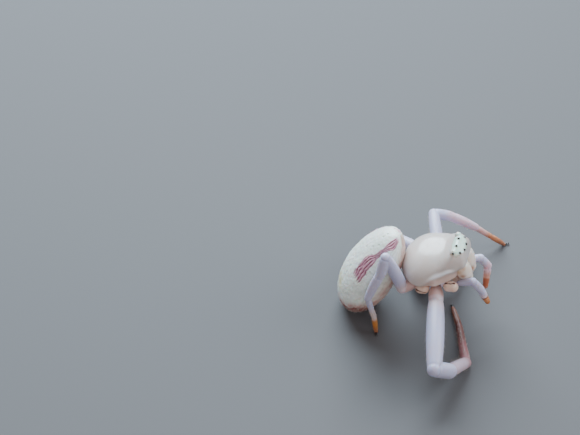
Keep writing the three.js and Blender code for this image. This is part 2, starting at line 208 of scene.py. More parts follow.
def along_table(table, x):
    """The value at x of a smooth curve through a table of (x, value)."""
    last = len(table) - 1
    if x <= table[0][0]:
        return table[0][1]
    if x >= table[last][0]:
        return table[last][1]
    i = max(k for k in range(last) if table[k][0] <= x)
    (x0, y0), (x1, y1) = table[i], table[i + 1]

    def slope(k):
        a, b = table[max(k - 1, 0)], table[min(k + 1, last)]
        return (b[1] - a[1]) / (b[0] - a[0])
    t = (x - x0) / (x1 - x0)
    d0, d1 = slope(i) * (x1 - x0), slope(i + 1) * (x1 - x0)
    return ((2 * t ** 3 - 3 * t ** 2 + 1) * y0 + (t ** 3 - 2 * t ** 2 + t) * d0
            + (3 * t ** 2 - 2 * t ** 3) * y1 + (t ** 3 - t ** 2) * d1)


def to_segment(p, a, b):
    """How far a point is from the line between two others."""
    axis = b - a
    t = min(max((p - a).dot(axis) / axis.length_squared, 0), 1)
    return (p - a - axis * t).length


# Meshes

def add_ball(bm, rings, sides, place):
    """Adds a ball whose every vertex is moved to place(fraction from pole to pole, angle)."""
    made = bmesh.ops.create_uvsphere(bm, u_segments=sides, v_segments=rings, radius=1)
    for vert in made["verts"]:
        f = round(math.acos(max(min(-vert.co.z, 1), -1)) / math.pi * rings) / rings
        vert.co = place(f, math.atan2(vert.co.y, vert.co.x))


def between(radii, t):
    """The radius a fraction t along a length, from those at its root, its middle and its end."""
    root, mid, end = radii
    return root * (1 - t) * (1 - 2 * t) + 4 * mid * t * (1 - t) + end * t * (2 * t - 1)


def frame_along(axis):
    """Two directions square to an axis and to each other, the first of them level."""
    side = Vector((0, 0, 1)).cross(axis)
    side = side.normalized() if side.length > 1e-6 else Vector((1, 0, 0))
    return side, axis.cross(side)


GROOVE_WIDTH = 0.055


def add_lobe(bm, start, end, radii, rings=40, sides=32, bow=0.0, grooves=()):
    """Adds a round-ended length from start to end. Each groove is a distance from the start
    and a depth. A bow lifts the middle."""
    axis = end - start
    length = axis.length
    axis = axis.normalized()
    side, rise = frame_along(axis)
    total = length + radii[0] + radii[2]

    def place(f, angle):
        along = -radii[0] + total * (1 - math.cos(math.pi * f)) / 2
        t = min(max(along / length, 0), 1)
        radius = between(radii, t)
        over = -along if along < 0 else max(along - length, 0)
        radius = math.sqrt(max(radius ** 2 - over ** 2, 0))
        for distance, depth in grooves:
            if radius > 3 * depth:
                radius -= depth * hump(along, distance, GROOVE_WIDTH)
        lift = bow * 4 * t * (1 - t)
        return (start + axis * along + side * (radius * math.cos(angle))
                + rise * (radius * math.sin(angle) + lift))
    add_ball(bm, rings, sides, place)


def new_object(name, bm, smooth=True):
    """Makes an object of a bmesh, with its faces turned outwards."""
    mesh = bpy.data.meshes.new(name)
    bmesh.ops.recalc_face_normals(bm, faces=bm.faces)
    if bm.calc_volume(signed=True) < 0:
        bmesh.ops.reverse_faces(bm, faces=bm.faces)
    bm.to_mesh(mesh)
    bm.free()
    obj = bpy.data.objects.new(name, mesh)
    bpy.context.scene.collection.objects.link(obj)
    if smooth:
        mesh.shade_smooth()
    return obj


def fuse(obj, voxel, rounding):
    """Melts an object's overlapping lobes into one closed skin, still in millimetres."""
    remesh = obj.modifiers.new("Melt", "REMESH")
    remesh.mode = "VOXEL"
    remesh.voxel_size = voxel
    soften = obj.modifiers.new("Soften", "SMOOTH")
    soften.factor = 0.5
    soften.iterations = rounding
    graph = bpy.context.evaluated_depsgraph_get()
    mesh = bpy.data.meshes.new_from_object(obj.evaluated_get(graph), depsgraph=graph)
    obj.modifiers.clear()
    old = obj.data
    obj.data = mesh
    bpy.data.meshes.remove(old)
    mesh.name = obj.name
    mesh.shade_smooth()
    return obj


def mark(obj, **measures):
    """Stores numbers on the skin, each worked out from a vertex's place in millimetres."""
    for name, measure in measures.items():
        layer = obj.data.attributes.new(name, "FLOAT", "POINT")
        layer.data.foreach_set("value", [measure(v.co) for v in obj.data.vertices])


def dent(obj, depth):
    """Moves every vertex inwards by depth(its place)."""
    normals = [v.normal.copy() for v in obj.data.vertices]
    for vert, normal in zip(obj.data.vertices, normals):
        vert.co -= normal * depth(vert.co)


def settle(obj, slot, material, *nodes):
    """Puts a finished piece at its size and place and hands it to the frame."""
    for vert in obj.data.vertices:
        vert.co.z = max(vert.co.z, 0.0)
    obj.data.transform(TO_ROW)
    obj.data.materials.clear()
    obj.data.materials.append(material)
    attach(obj, "root")
    if nodes:
        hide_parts(*nodes)


# Carapace

def rim(x):
    """Height of the carapace's lower edge."""
    return 0.42 * smoothstep(x, 0, 2.4)


def shell_width(x):
    """Half the width of the carapace, which narrows to a blunt front."""
    if x < SHELL_WIDEST:
        behind = (SHELL_WIDEST - x) / (SHELL_WIDEST - SHELL_REAR)
        return SHELL_HALF_WIDTH * math.sqrt(max(1 - behind ** 2.2, 0))
    ahead = (x - SHELL_WIDEST) / (SHELL_FRONT - SHELL_WIDEST)
    narrowing = 1 - 0.46 * smoothstep(ahead, 0.12, 1)
    return SHELL_HALF_WIDTH * narrowing * math.sqrt(max(1 - min(ahead, 1) ** 30, 0))


def above_bead(x, up):
    """How far a place on the carapace is above its bead."""
    return up - along_table(BEAD, x)


def shell_place(f, angle):
    """The carapace, with a bead along its edge and the flank below it drawn in."""
    s = (1 - math.cos(math.pi * f)) / 2
    x = SHELL_REAR + (SHELL_FRONT - SHELL_REAR) * (1 - (1 - s) ** 1.5)
    if f in (0, 1):
        return raised(x - 0.1 * f, 0, rim(x))
    side, rise = -math.cos(angle), math.sin(angle)
    q = abs(side)
    power = 2.3 + 1.5 * smoothstep(x, 0.3, 1.3)
    if rise >= 0:
        up = rim(x) + max(along_table(RIDGE, x) - rim(x), 0) * max(1 - q ** power, 0) ** 0.5
    else:
        up = rim(x) - 0.12 * math.sqrt(max(1 - q ** 8, 0)) * min(shell_width(x) / 0.4, 1)
    left = side * shell_width(x)
    point = Vector((x, left, up))
    inner = Vector((min(x, 1.1), 0, rim(x) + 0.25))
    out = (point - inner).normalized()
    height = above_bead(x, up)
    ends = smoothstep(x, -1.9, -1.3)
    # the bead and the groove over it, the flank drawn in, then a swelling over each coxa
    strength = smoothstep(x, -0.6, 0.3) * (1 - smoothstep(x, 1.1, 1.42))
    swell = strength * (0.036 * hump(height, 0, 0.07) - 0.03 * hump(height, 0.16, 0.08))
    front = smoothstep(x, 1.2, 1.6)
    swell -= (0.16 + 0.06 * strength) * smoothstep(-height, 0.03, 0.4) * (1 - front)
    swell -= 0.3 * smoothstep(-height, -0.12, 0.5) * front
    coxae = 0.06 * hump(x, 1.0, 0.27) + 0.07 * hump(x, 0.25, 0.3) + 0.05 * hump(x, -0.55, 0.25)
    swell += coxae * smoothstep(-height, 0.1, 0.35)
    return raised(*(point + out * swell * ends))


def eye_seats():
    """The low mounds that carry the eyes: centre and radius."""
    for name, inward, down, radius in (("front_lateral", 0.04, 0.09, 0.14),
                                       ("rear_lateral", 0.12, 0.06, 0.19),
                                       ("front_median", 0.0, 0.05, 0.07),
                                       ("rear_median", 0.0, 0.05, 0.08)):
        x, y, z = EYES[name]
        for sign in (1, -1):
            yield raised(x - 0.03, sign * (y - inward), z - down), radius


def eye_centres():
    for x, y, z in EYES.values():
        for sign in (1, -1):
            yield raised(x, sign * y, z)


def swell_over(point, seats):
    """Pushes a point out to the surface of any low mound that it lies inside, softly."""
    for centre, radius in seats:
        away = point - centre
        reach = away.length
        out = radius * (1 + 0.3 * smoothstep(reach, radius * 0.7, radius * 1.5) ** 2)
        if reach < out:
            point = centre + away * (out / max(reach, 1e-6))
    return point


def ocular(p):
    """1 on the chalky field round the eyes, falling to 0 outside it."""
    x, left, up = on_head_part(p)
    narrow = 0.3 + 0.16 * smoothstep(abs(left), 0.9, 0.3)
    from_middle = Vector(((x - 1.47 + 0.12 * abs(left)) / narrow, left / 0.93, (up - 1.9) / 0.6))
    ragged = 0.12 * noise.noise(p * 4) + 0.07 * noise.noise(p * 11)
    return 1 - smoothstep(from_middle.length + ragged, 0.78, 1.05)


def bead(p):
    """1 along the bead that edges the carapace, where a highlight is painted in bluish white."""
    x, left, up = on_head_part(p)
    strength = smoothstep(x, -0.4, 0.4) * (1 - smoothstep(x, 1.1, 1.42))
    return hump(above_bead(x, up), 0.0, 0.1) * strength


def flank(p):
    """1 below the bead."""
    x, left, up = on_head_part(p)
    return smoothstep(-above_bead(x, up), 0.0, 0.35)


def cheek(p):
    """1 at the front of the flank, beside the jaws."""
    x, left, up = on_head_part(p)
    return smoothstep(x, 1.45, 1.8) * flank(p)


# Abdomen

def egg_place(f, angle):
    """A place on the abdomen: f runs from its front to its rear, the angle from its back's
    midline to the right side."""
    t = -math.cos(math.pi * f)
    full = math.sqrt(max(1 - abs(t) ** (1.8 if t < 0 else 2), 0))
    up = math.cos(angle) * ABDOMEN_HIGH * full
    along = t * (ABDOMEN_FRONT if t < 0 else ABDOMEN_REAR) + BROW * up * min(t, 0)
    return ABDOMEN_CENTRE + ABDOMEN_TURN @ Vector(
        (-math.sin(angle) * ABDOMEN_WIDE * full * (1 + 0.05 * t), along, up))


def on_egg(p):
    """Where a point sits on the abdomen: station from -1 in front to 1 behind, and degrees
    from the back's midline, positive to the right."""
    local = ABDOMEN_TURN.transposed() @ (p - ABDOMEN_CENTRE)
    t = local.y / (ABDOMEN_FRONT + BROW * local.z if local.y < 0 else ABDOMEN_REAR)
    turned = math.atan2(-local.x / ABDOMEN_WIDE / (1 + 0.05 * t), local.z / ABDOMEN_HIGH)
    return t, math.degrees(turned)


def across_band(p):
    """How far across the rose band of its side a point is, -1 to 1, and its station. The
    left side's band lies lower, out of the camera's sight."""
    t, degrees = on_egg(p)
    away = abs(degrees) - along_table(BAND_MIDDLE, t) - (0 if degrees > 0 else LEFT_BAND_DROP)
    return away / (along_table(BAND_HALF, t) + 2.2 * noise.noise(p * 2.3)), t


def fold_phase(p):
    """How far into its run of folds a point on the band is, as an angle."""
    across, t = across_band(p)
    return across * 4.3 * math.pi + 2.6 * noise.noise(p * 1.5) + 2.3 * noise.noise(p * 3.7)


def ripple(p):
    """The wavy folds that run along the band, from -1 to 1."""
    return (0.75 + 0.7 * noise.noise(p * 2.9)) * math.sin(fold_phase(p)) + 0.5 * noise.noise(p * 7)


def band(p):
    """1 inside the rose band on each side."""
    across, t = across_band(p)
    ragged = 0.16 * noise.noise(p * 6) + 0.05 * math.sin(fold_phase(p))
    end = t + 0.03 * math.sin(fold_phase(p)) + 0.03 * noise.noise(p * 3)
    ends = smoothstep(t, -0.99, -0.965) * (1 - smoothstep(end, -0.14, -0.08))
    if p.x > ABDOMEN_CENTRE.x + 0.9:
        ends *= smoothstep(t, -0.8, -0.65)
    return (1 - smoothstep(abs(across) + ragged, 0.9, 1.12)) * ends


def flank_folds(p):
    """Soft folds that follow the length of the abdomen below the band, from -1 to 1."""
    t, degrees = on_egg(p)
    phase = math.radians(abs(degrees)) * 24 + 5 * noise.noise(p * 0.9) + 3 * noise.noise(p * 2.6)
    return math.sin(phase) * smoothstep(abs(degrees), 52, 72)


def pit(p):
    """1 at the middle of each small dimple on the back."""
    t, degrees = on_egg(p)
    deepest = 0
    for station, turn in PITS:
        away = (degrees - turn) * 0.03 * math.sqrt(max(1 - t * t, 0.05))
        deepest = max(deepest, 1 - smoothstep(math.hypot((t - station) * 3.2, away), 0.01, 0.07))
    return deepest


def reddish(p):
    """How far under the reddish edge a point is, in degrees."""
    t, degrees = on_egg(p)
    wander = 5 + 7 * noise.noise(p * 1.3) + 4 * noise.noise(p * 5)
    return abs(degrees) - along_table(RED_EDGE, t) + wander


def flush(p):
    """1 below the reddish edge, fading out above it."""
    return smoothstep(reddish(p), -26, 2) * min(max(0.8 + 0.6 * noise.noise(p * 3.1), 0), 1)


def tail(p):
    """1 on the dark red of the rear."""
    t, degrees = on_egg(p)
    return smoothstep(reddish(p), 1, 14) * smoothstep(t, 0.22, 0.42)


def ventral(p):
    """1 on the underside, where shade is painted as a greyer colour."""
    t, degrees = on_egg(p)
    wander = 14 * noise.noise(p) + 5 * noise.noise(p * 3)
    return smoothstep(abs(degrees) + wander - 14 * smoothstep(t, -0.5, -0.9), 72, 118)


def yellow(p):
    """1 at the middle of the yellowish patch near the rear."""
    t, degrees = on_egg(p)
    return hump(t, 0.44, 0.13) * hump(degrees, 9, 18) * (0.8 + 0.5 * noise.noise(p * 4))


def press(point, limbs):
    """Gives way to a limb that leans on the abdomen."""
    inward = (ABDOMEN_CENTRE - point).normalized()
    for start, end, radius in limbs:
        gap = to_segment(point, start, end) - radius
        if gap < 0.1:
            point = point + inward * min((0.1 - gap) ** 2 / 0.2, 0.1 - gap)
    return point


def abdomen_skin(f, angle, limbs):
    """The abdomen's finished surface, folds and dimples included."""
    point = egg_place(f, angle)
    out = (point - ABDOMEN_CENTRE).normalized()
    inside = band(point)
    depth = (0.032 * inside * (ripple(point) - 0.3) if inside > 0 else 0) - 0.045 * pit(point)
    depth += 0.011 * (flank_folds(point) - 1) * (1 - inside)
    depth += 0.022 * noise.noise(point * 1.7) + 0.022 * noise.noise(point * 4.6) - 0.022
    depth += 0.012 * noise.noise(point * 9)
    return press(point + out * depth, limbs)


# Legs

def heading(yaw, pitch):
    """The direction at a yaw to the left of straight ahead and a pitch above level, in degrees."""
    y, p = math.radians(yaw), math.radians(pitch)
    return Vector((math.cos(p) * math.sin(y), -math.cos(p) * math.cos(y), math.sin(p)))


def leg_joints(name):
    """The seven joints of a leg, from where its coxa starts to the end of its foot."""
    root, base, lengths, girth, turns = LEGS[name]
    joints = [raised(*root), raised(*base)]
    for turn, length in zip(turns, lengths):
        joints.append(joints[-1] + heading(*turn) * length)
    joints[-1].z = girth[5][2] - 0.03
    return joints


def limb_measure(joints, girth):
    """How far a point is along a limb, counted in segments from its root."""
    axes = [(a, b - a, (b - a).length_squared) for a, b in zip(joints, joints[1:])]

    def measure(p):
        best, value = 1e9, 0.0
        for i, (a, axis, square) in enumerate(axes):
            t = min(max((p - a).dot(axis) / square, 0), 1)
            gap = (p - a - axis * t).length - between(girth[i], t)
            if gap < best - 1e-4:
                best, value = gap, i + t
        return value
    return measure


def leaning_limbs():
    """The lengths of both rear legs that the abdomen leans on: start, end and radius."""
    limbs = []
    for name in ("leg_right_4", "leg_left_4"):
        joints = leg_joints(name)
        limbs += [(joints[i], joints[i + 1], radius) for i, radius in ((1, 0.35), (2, 0.31), (3, 0.28))]
    return limbs


def palp_limb(side):
    """The joints of a feeler and the girths of its three lengths."""
    joints = [raised(*place) for place in PALPS[side]]
    root, elbow, wrist, tip = PALP_RADII
    return joints, ((root, 0.21, elbow), (elbow, elbow, wrist), (wrist, 0.2, tip))


def crease(along):
    """How deep the rings round a leg are at a place along it."""
    return sum(depth * hump(along, place, width) for place, depth, width in CREASES)


def build_leg(name, voxel):
    """Makes a leg's skin, in millimetres, and gives it back with its joints and girths."""
    joints = leg_joints(name)
    girth = LEGS[name][3]
    bm = bmesh.new()
    for i in range(6):
        length = (joints[i + 1] - joints[i]).length
        bow = (0, 0.045, 0.02, 0.03, -0.02, 0)[i] * length / 2.5
        # the ring between coxa and femur, then the soft joints further down
        grooves = ((), ((0.3, 0.05), (length - 0.12, 0.02)), ((0.05, 0.03),),
                   ((0.28, 0.035),), ((0.16, 0.03),), ((0.08, 0.035), (length - 0.06, 0.02)))[i]
        add_lobe(bm, joints[i], joints[i + 1], girth[i], bow=bow, grooves=grooves)
    skin = fuse(new_object(name + "_skin", bm), voxel, 2)
    along = limb_measure(joints, girth)
    dent(skin, lambda p: crease(along(p)))
    mark(skin, along=along)
    return skin, joints, girth


# Bristles

def add_bristle(bm, root, direction, length, radius, tone, patch, sides=4):
    """Adds one tapered bristle, and lays its faces on a small patch of the coat's map."""
    uv = bm.loops.layers.uv["OFBake"]
    shade = bm.verts.layers.float["tone"]
    turn = direction.to_track_quat("Z", "Y").to_matrix().to_4x4()
    made = bmesh.ops.create_cone(
        bm, cap_ends=True, segments=sides, radius1=radius, radius2=radius * 0.2, depth=length,
        matrix=Matrix.Translation(root + direction * (length / 2)) @ turn)
    spot = {}
    for vert in made["verts"]:
        height = (vert.co - root).dot(direction) / length
        offset = vert.co - root - direction * (height * length)
        side = turn.transposed().to_3x3() @ offset
        turned = math.atan2(side.y, side.x) / (2 * math.pi) + 0.5
        spot[vert] = (patch[0] + PATCH * (turned - 0.5), patch[1] + PATCH * (height - 0.5))
        vert[shade] = tone
    for face in {f for v in made["verts"] for f in v.link_faces}:
        for loop in face.loops:
            loop[uv].uv = spot[loop.vert]


def bristle_mesh():
    """An empty coat, with its map and its tones."""
    bm = bmesh.new()
    bm.loops.layers.uv.new("OFBake")
    bm.verts.layers.float.new("tone")
    return bm


# Materials

def linear(hex_colour):
    """The linear red, green and blue of a #rrggbb colour."""
    values = [int(hex_colour[i:i + 2], 16) / 255 for i in (1, 3, 5)]
    return [v / 12.92 if v <= 0.04045 else ((v + 0.055) / 1.055) ** 2.4 for v in values]


def hexed(colour):
    """A colour property as the #rrggbb that it shows on screen."""
    return "#" + "".join(f"{round(255 * min(max(c, 0), 1)):02x}" for c in colour)


def group(name, inputs, outputs):
    """Starts a node group with its sockets, and gives it back with its way in and way out."""
    tree = bpy.data.node_groups.new(name, "ShaderNodeTree")
    for label, kind, value in inputs:
        socket = tree.interface.new_socket(label, in_out="INPUT", socket_type=kind)
        if value is not None:
            socket.default_value = value
    for label, kind in outputs:
        tree.interface.new_socket(label, in_out="OUTPUT", socket_type=kind)
    return tree, tree.nodes.new("NodeGroupInput"), tree.nodes.new("NodeGroupOutput")


def mottle_group():
    """Soft uneven patches, pores and a fine grain, as masks and a height."""
    name = "Skin mottle"
    if name in bpy.data.node_groups:
        return bpy.data.node_groups[name]
    tree, enter, leave = group(name, [("Vector", "NodeSocketVector", None),
                                      ("Patch Scale", "NodeSocketFloat", 900.0),
                                      ("Pore Scale", "NodeSocketFloat", 5200.0),
                                      ("Grain Scale", "NodeSocketFloat", 12000.0),
                                      ("Grain", "NodeSocketFloat", 0.3)],
                               [("Mask", "NodeSocketFloat"), ("Pores", "NodeSocketFloat"),
                                ("Height", "NodeSocketFloat")])
    patch, grain = tree.nodes.new("ShaderNodeTexNoise"), tree.nodes.new("ShaderNodeTexNoise")
    patch.inputs["Detail"].default_value = 4
    grain.inputs["Detail"].default_value = 2
    pore = tree.nodes.new("ShaderNodeTexVoronoi")
    mix = tree.nodes.new("ShaderNodeMix")
    spread = tree.nodes.new("ShaderNodeMapRange")
    spread.inputs["From Min"].default_value = 0.35
    spread.inputs["From Max"].default_value = 0.68
    holes = tree.nodes.new("ShaderNodeMapRange")
    holes.interpolation_type = "SMOOTHSTEP"
    holes.inputs["From Min"].default_value = 0.2
    holes.inputs["From Max"].default_value = 0.1
    for node, scale in ((patch, "Patch Scale"), (grain, "Grain Scale"), (pore, "Pore Scale")):
        tree.links.new(enter.outputs["Vector"], node.inputs["Vector"])
        tree.links.new(enter.outputs[scale], node.inputs["Scale"])
    tree.links.new(patch.outputs["Fac"], spread.inputs["Value"])
    tree.links.new(spread.outputs["Result"], leave.inputs["Mask"])
    tree.links.new(pore.outputs["Distance"], holes.inputs["Value"])
    tree.links.new(holes.outputs["Result"], leave.inputs["Pores"])
    tree.links.new(enter.outputs["Grain"], mix.inputs["Factor"])
    tree.links.new(patch.outputs["Fac"], mix.inputs["A"])
    tree.links.new(grain.outputs["Fac"], mix.inputs["B"])
    tree.links.new(mix.outputs["Result"], leave.inputs["Height"])
    return tree


class Finish:
    """A material under construction: its shader and the colour built up so far."""

    def __init__(self, name, colour, roughness, flesh=0.0, coat=0.0, depth=0.45):
        self.material = bpy.data.materials.new(name)
        self.material.use_nodes = True
        self.tree = self.material.node_tree
        self.shader = self.tree.nodes["Principled BSDF"]
        self.place = self.tree.nodes.new("ShaderNodeTexCoord").outputs["Object"]
        base = self.tree.nodes.new("ShaderNodeRGB")
        base.outputs[0].default_value = (*linear(colour), 1)
        self.colour = base.outputs[0]
        self.shader.inputs["Base Color"].default_value = (*linear(colour), 1)
        self.shader.inputs["Roughness"].default_value = roughness
        self.shader.inputs["Coat Weight"].default_value = coat
        self.shader.inputs["Coat Roughness"].default_value = 0.18
        self.shader.inputs["Subsurface Weight"].default_value = flesh
        self.shader.inputs["Subsurface Radius"].default_value = (1.0, 0.65, 0.5)
        self.shader.inputs["Subsurface Scale"].default_value = depth * MM
        self.mottle = self.tree.nodes.new("ShaderNodeGroup")
        self.mottle.node_tree = mottle_group()
        self.tree.links.new(self.place, self.mottle.inputs["Vector"])

    def value(self, name):
        """The number stored on the skin under this name."""
        node = self.tree.nodes.new("ShaderNodeAttribute")
        node.attribute_name = name
        return node.outputs["Fac"]

    def ramp(self, source, low, high):
        """0 where the source is at low, rising softly to 1 at high."""
        node = self.tree.nodes.new("ShaderNodeMapRange")
        node.interpolation_type = "SMOOTHSTEP"
        node.inputs["From Min"].default_value = low
        node.inputs["From Max"].default_value = high
        self.tree.links.new(source, node.inputs["Value"])
        return node.outputs["Result"]

    def times(self, a, b):
        """The product of two masks, or of a mask and a number."""
        node = self.tree.nodes.new("ShaderNodeMath")
        node.operation = "MULTIPLY"
        for socket, value in zip(node.inputs, (a, b)):
            if isinstance(value, (int, float)):
                socket.default_value = value
            else:
                self.tree.links.new(value, socket)
        return node.outputs[0]

    def over(self, colour, mask, strength=1.0):
        """Lays a colour over what is there, where the mask is 1."""
        node = self.tree.nodes.new("ShaderNodeMix")
        node.data_type = "RGBA"
        node.inputs["B"].default_value = (*linear(colour), 1)
        mask = self.times(mask, strength) if strength != 1 else mask
        self.tree.links.new(mask, node.inputs["Factor"])
        self.tree.links.new(self.colour, node.inputs["A"])
        self.colour = node.outputs["Result"]

    def near(self, centre, radius, softness):
        """1 within a radius of a place, both in millimetres."""
        node = self.tree.nodes.new("ShaderNodeVectorMath")
        node.operation = "DISTANCE"
        node.inputs[1].default_value = TO_ROW @ centre
        self.tree.links.new(self.place, node.inputs[0])
        outer, inner = radius + softness, max(radius - softness, 0)
        return self.ramp(node.outputs["Value"], outer * MM, inner * MM)

    def bumps(self, strength, distance=0.02):
        """Roughens the skin with its mottle, over a height in millimetres."""
        node = self.tree.nodes.new("ShaderNodeBump")
        node.inputs["Strength"].default_value = strength
        node.inputs["Distance"].default_value = distance * MM
        self.tree.links.new(self.mottle.outputs["Height"], node.inputs["Height"])
        self.tree.links.new(node.outputs["Normal"], self.shader.inputs["Normal"])

    def done(self):
        self.tree.links.new(self.colour, self.shader.inputs["Base Color"])
        return self.material


def shell_finish():
    paint = Finish("Carapace", hexed(looks().shell), 0.28, flesh=0.55, coat=0.65)
    paint.over("#d6bfb0", paint.mottle.outputs["Mask"], 0.2)
    paint.over("#dcbcae", paint.value("flank"), 0.75)
    paint.over("#e4cfa6", paint.value("cheek"), 0.6)
    # painted highlight: the bead is painted bluish white, as light glinting along its ridge
    paint.over("#f4f6fa", paint.value("bead"), 0.8)
    paint.over("#dcf2e6", paint.value("ocular"), 0.95)
    patchy = paint.times(paint.value("ocular"), paint.mottle.outputs["Mask"])
    paint.over("#a9cdb8", patchy, 0.7)
    edge = paint.times(paint.ramp(paint.value("ocular"), 0.05, 0.3),
                       paint.ramp(paint.value("ocular"), 0.75, 0.4))
    paint.over("#a89a7c", edge, 0.5)
    paint.over("#3a2c20", paint.ramp(paint.value("lens_gap"), 0.1, 0.075), 0.8)
    paint.bumps(0.1)
    return paint.done()


def abdomen_finish():
    paint = Finish("Abdomen", hexed(looks().abdomen), 0.42, flesh=0.35, coat=0.12)
    paint.mottle.inputs["Patch Scale"].default_value = 1500
    paint.mottle.inputs["Grain Scale"].default_value = 8000
    paint.over("#dbe7da", paint.mottle.outputs["Mask"], 0.4)
    # painted shade: the underside and front face are greyed where less light reaches them
    paint.over("#dcd5c6", paint.value("ventral"), 0.85)
    paint.over("#c48a82", paint.value("flush"), 0.85)
    paint.over("#863a34", paint.value("tail"), 0.9)
    paint.over("#e3d493", paint.value("yellow"), 0.8)
    # painted shade: each dimple is painted a darker grey green, as shade in its hollow
    paint.over("#8fa596", paint.value("pit"), 0.7)
    # painted shade in the troughs of the soft folds below the band
    paint.over("#c9cfc0", paint.times(paint.value("folds"), -1.0), 0.35)
    paint.over(hexed(looks().band), paint.value("band"), 0.95)
    # painted shade in the grooves of the band's folds
    folds = paint.times(paint.value("band"), paint.ramp(paint.value("ripple"), 0.05, -0.6))
    paint.over("#8f4060", folds, 0.85)
    # painted highlight on the crests of the band's folds
    crest_highlight = paint.times(paint.value("band"), paint.ramp(paint.value("ripple"), 0.3, 0.85))
    paint.over("#e6bfc8", crest_highlight, 0.8)
    paint.bumps(0.9, 0.05)
    return paint.done()


def limb_finish(name, stages):
    """Stages are (colour, where it starts, where it is full) in segments along the limb."""
    # the lilac base is the limbs' own pale colour with a painted reflection of pink light from round
    # them
    paint = Finish(name, hexed(looks().limb), 0.4, flesh=0.6, coat=0.12)
    along = paint.value("along")
    for colour, start, full in stages:
        paint.over(colour, paint.ramp(along, start, full))
    paint.over("#c9b3b4", paint.mottle.outputs["Mask"], 0.16)
    speckle = paint.times(paint.mottle.outputs["Pores"], paint.ramp(along, 1.6, 4.2))
    paint.over("#8f6a58", speckle, 0.3)
    paint.bumps(0.12)
    return paint


def dark_finish():
    paint = Finish("Lens and claw", "#070504", 0.08, coat=0.6)
    paint.over("#3a1d0c", paint.mottle.outputs["Mask"], 0.25)
    return paint.done()


def bristle_finish():
    paint = Finish("Bristles", "#e9e1d6", 0.4)
    paint.over("#5a3018", paint.value("tone"))
    return paint.done()


# Panel settings

class CrabSpiderLooks(bpy.types.PropertyGroup):
    """Colours and finenesses that a user would change."""
    shell: bpy.props.FloatVectorProperty(
        name="Carapace", description="Colour of the carapace", subtype="COLOR_GAMMA", size=3,
        min=0, max=1, default=(0.82, 0.785, 0.765))
    flesh: bpy.props.FloatVectorProperty(
        name="Underside", description="Colour of the coxae and sternum", subtype="COLOR_GAMMA",
        size=3, min=0, max=1, default=(0.9, 0.79, 0.73))
    abdomen: bpy.props.FloatVectorProperty(
        name="Abdomen", description="Colour of the abdomen", subtype="COLOR_GAMMA", size=3,
        min=0, max=1, default=(0.95, 0.98, 0.955))
    band: bpy.props.FloatVectorProperty(
        name="Side band", description="Colour of the bands on the abdomen", subtype="COLOR_GAMMA",
        size=3, min=0, max=1, default=(0.76, 0.53, 0.61))
    # partly the legs' own pale colour, partly a painted reflection of pink light, which shows as lilac
    limb: bpy.props.FloatVectorProperty(
        name="Legs", description="Colour of the legs", subtype="COLOR_GAMMA", size=3,
        min=0, max=1, default=(0.73, 0.735, 0.84))
    voxel: bpy.props.FloatProperty(
        name="Leg fineness", description="Grain of the melted skins, in millimetres",
        default=0.034, min=0.02, max=0.1, unit="NONE")
    bristles: bpy.props.IntProperty(
        name="Bristles", description="How many fine bristles each leg segment carries",
        default=52, min=0, max=400)


def looks():
    return bpy.context.scene.crab_spider


class SPIDER_OT_carapace(bpy.types.Operator):
    """Adds the carapace with its eye mounds and edge bead"""
    bl_idname = "crab_spider.carapace"
    bl_label = "Carapace"

    def execute(self, context):
        seats = list(eye_seats())
        bm = bmesh.new()
        add_ball(bm, 190, 220, lambda f, a: swell_over(shell_place(f, a), seats))
        obj = new_object("carapace_skin", bm)
        centres = list(eye_centres())
        mark(obj, ocular=ocular, bead=bead, flank=flank, cheek=cheek,
             lens_gap=lambda p: min((p - c).length for c in centres))
        settle(obj, "shell", shell_finish(), "carapace")
        return {"FINISHED"}


class SPIDER_OT_eyes(bpy.types.Operator):
    """Adds the eight lenses"""
    bl_idname = "crab_spider.eyes"
    bl_label = "Eyes"

    def execute(self, context):
        bm = bmesh.new()
        for centre in eye_centres():
            bmesh.ops.create_uvsphere(bm, u_segments=24, v_segments=16, radius=LENS_RADIUS,
                                      matrix=Matrix.Translation(centre))
        nodes = [f"eye_{name}_{side}" for name in EYES for side in ("left", "right")]
        settle(new_object("eyes", bm), "dark", dark_finish(), *nodes)
        return {"FINISHED"}


class SPIDER_OT_abdomen(bpy.types.Operator):
    """Adds the abdomen with its folds, dimples and side bands"""
    bl_idname = "crab_spider.abdomen"
    bl_label = "Abdomen"

    def execute(self, context):
        limbs = leaning_limbs()
        bm = bmesh.new()
        add_ball(bm, 230, 250, lambda f, a: abdomen_skin(f, a + math.pi / 2, limbs))
        obj = new_object("abdomen_skin", bm)
        mark(obj, band=band, ripple=ripple, pit=pit, ventral=ventral, flush=flush, tail=tail,
             yellow=yellow, folds=lambda p: flank_folds(p) * (1 - band(p)))
        settle(obj, "abdomen", abdomen_finish(), "abdomen")
        return {"FINISHED"}


# Colours down each leg and feeler, the last of them for the legs that have none of their own
LEG_STAGES = {
    "leg_right_2": (("#c2adbd", 3.0, 3.06), ("#a87c84", 3.7, 3.98), ("#8a5054", 4.0, 4.25),
                    ("#5e2a20", 4.35, 4.7), ("#6e3c20", 5.0, 5.5)),
    "leg_right_4": (("#d8c6c2", 4.3, 4.8), ("#c2803a", 5.0, 5.25), ("#a45a16", 5.4, 5.9)),
    "leg_left_3": (("#d6bccb", 2.4, 3.2), ("#cba39f", 3.9, 4.3), ("#b87a50", 4.5, 4.9),
                   ("#96561e", 5.2, 5.8)),
}
PALP_STAGES = {
    "right": (("#e0ccd0", 2.2, 2.5), ("#7d3a20", 2.54, 2.58), ("#c88a5c", 2.61, 2.66),
              ("#b06a24", 2.8, 3.0)),
    "left": (("#dcbccb", 1.3, 1.9), ("#cf9a88", 2.15, 2.45), ("#b06848", 2.52, 2.62),
             ("#b86c4c", 2.75, 3.0)),
}
HIDDEN_STAGES = (("#d8bec8", 3.1, 3.8), ("#c39690", 3.9, 4.4), ("#9c5a2c", 4.9, 5.4))


